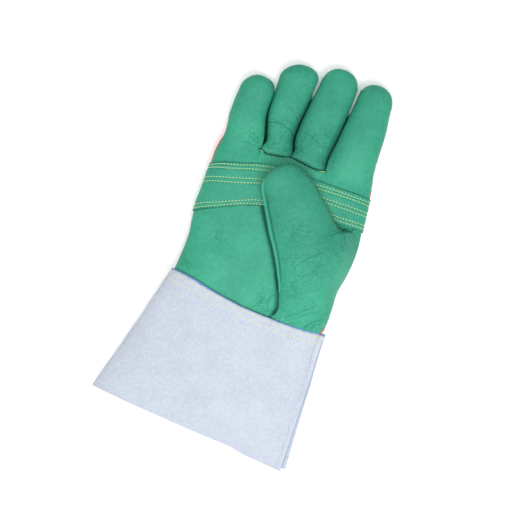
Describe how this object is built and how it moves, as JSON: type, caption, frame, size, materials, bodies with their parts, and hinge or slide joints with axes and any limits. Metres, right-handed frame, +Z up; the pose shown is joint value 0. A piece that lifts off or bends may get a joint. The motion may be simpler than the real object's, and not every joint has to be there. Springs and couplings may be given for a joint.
{
  "type": "work glove",
  "caption": "Right-hand leather work glove lying palm up, with a stitched palm patch, a wing thumb folded over the palm and a long flared gauntlet cuff.",
  "frame": {"origin": "under the middle of the glove, on the surface that its back lies on", "axes": "+Y from the cuff to the fingertips, +X towards the thumb and index side, +Z up out of the palm"},
  "size_m": [0.1822, 0.3418, 0.0465],
  "materials": {
    "grain_leather": "satin green grain leather",
    "gusset_leather": "satin green grain leather, shaded",
    "back_fabric": "matt red weave",
    "split_leather": "matt pale blue-grey suede split"
  },
  "bodies": {
    "root": {"palm_panel": "grain_leather", "middle_fingers_front": "grain_leather", "gusset_little_ring": "gusset_leather", "gusset_ring_middle": "gusset_leather", "gusset_middle_index": "gusset_leather", "back_panel": "back_fabric", "fingertip_little": "grain_leather", "fingertip_ring": "grain_leather", "fingertip_middle": "grain_leather", "fingertip_index": "grain_leather", "palm_patch": "grain_leather", "knuckle_strap": "grain_leather", "thumb_front": "grain_leather", "thumb_back": "gusset_leather", "thumb_welt": "grain_leather", "cuff": "split_leather"}
  },
  "joints": []
}
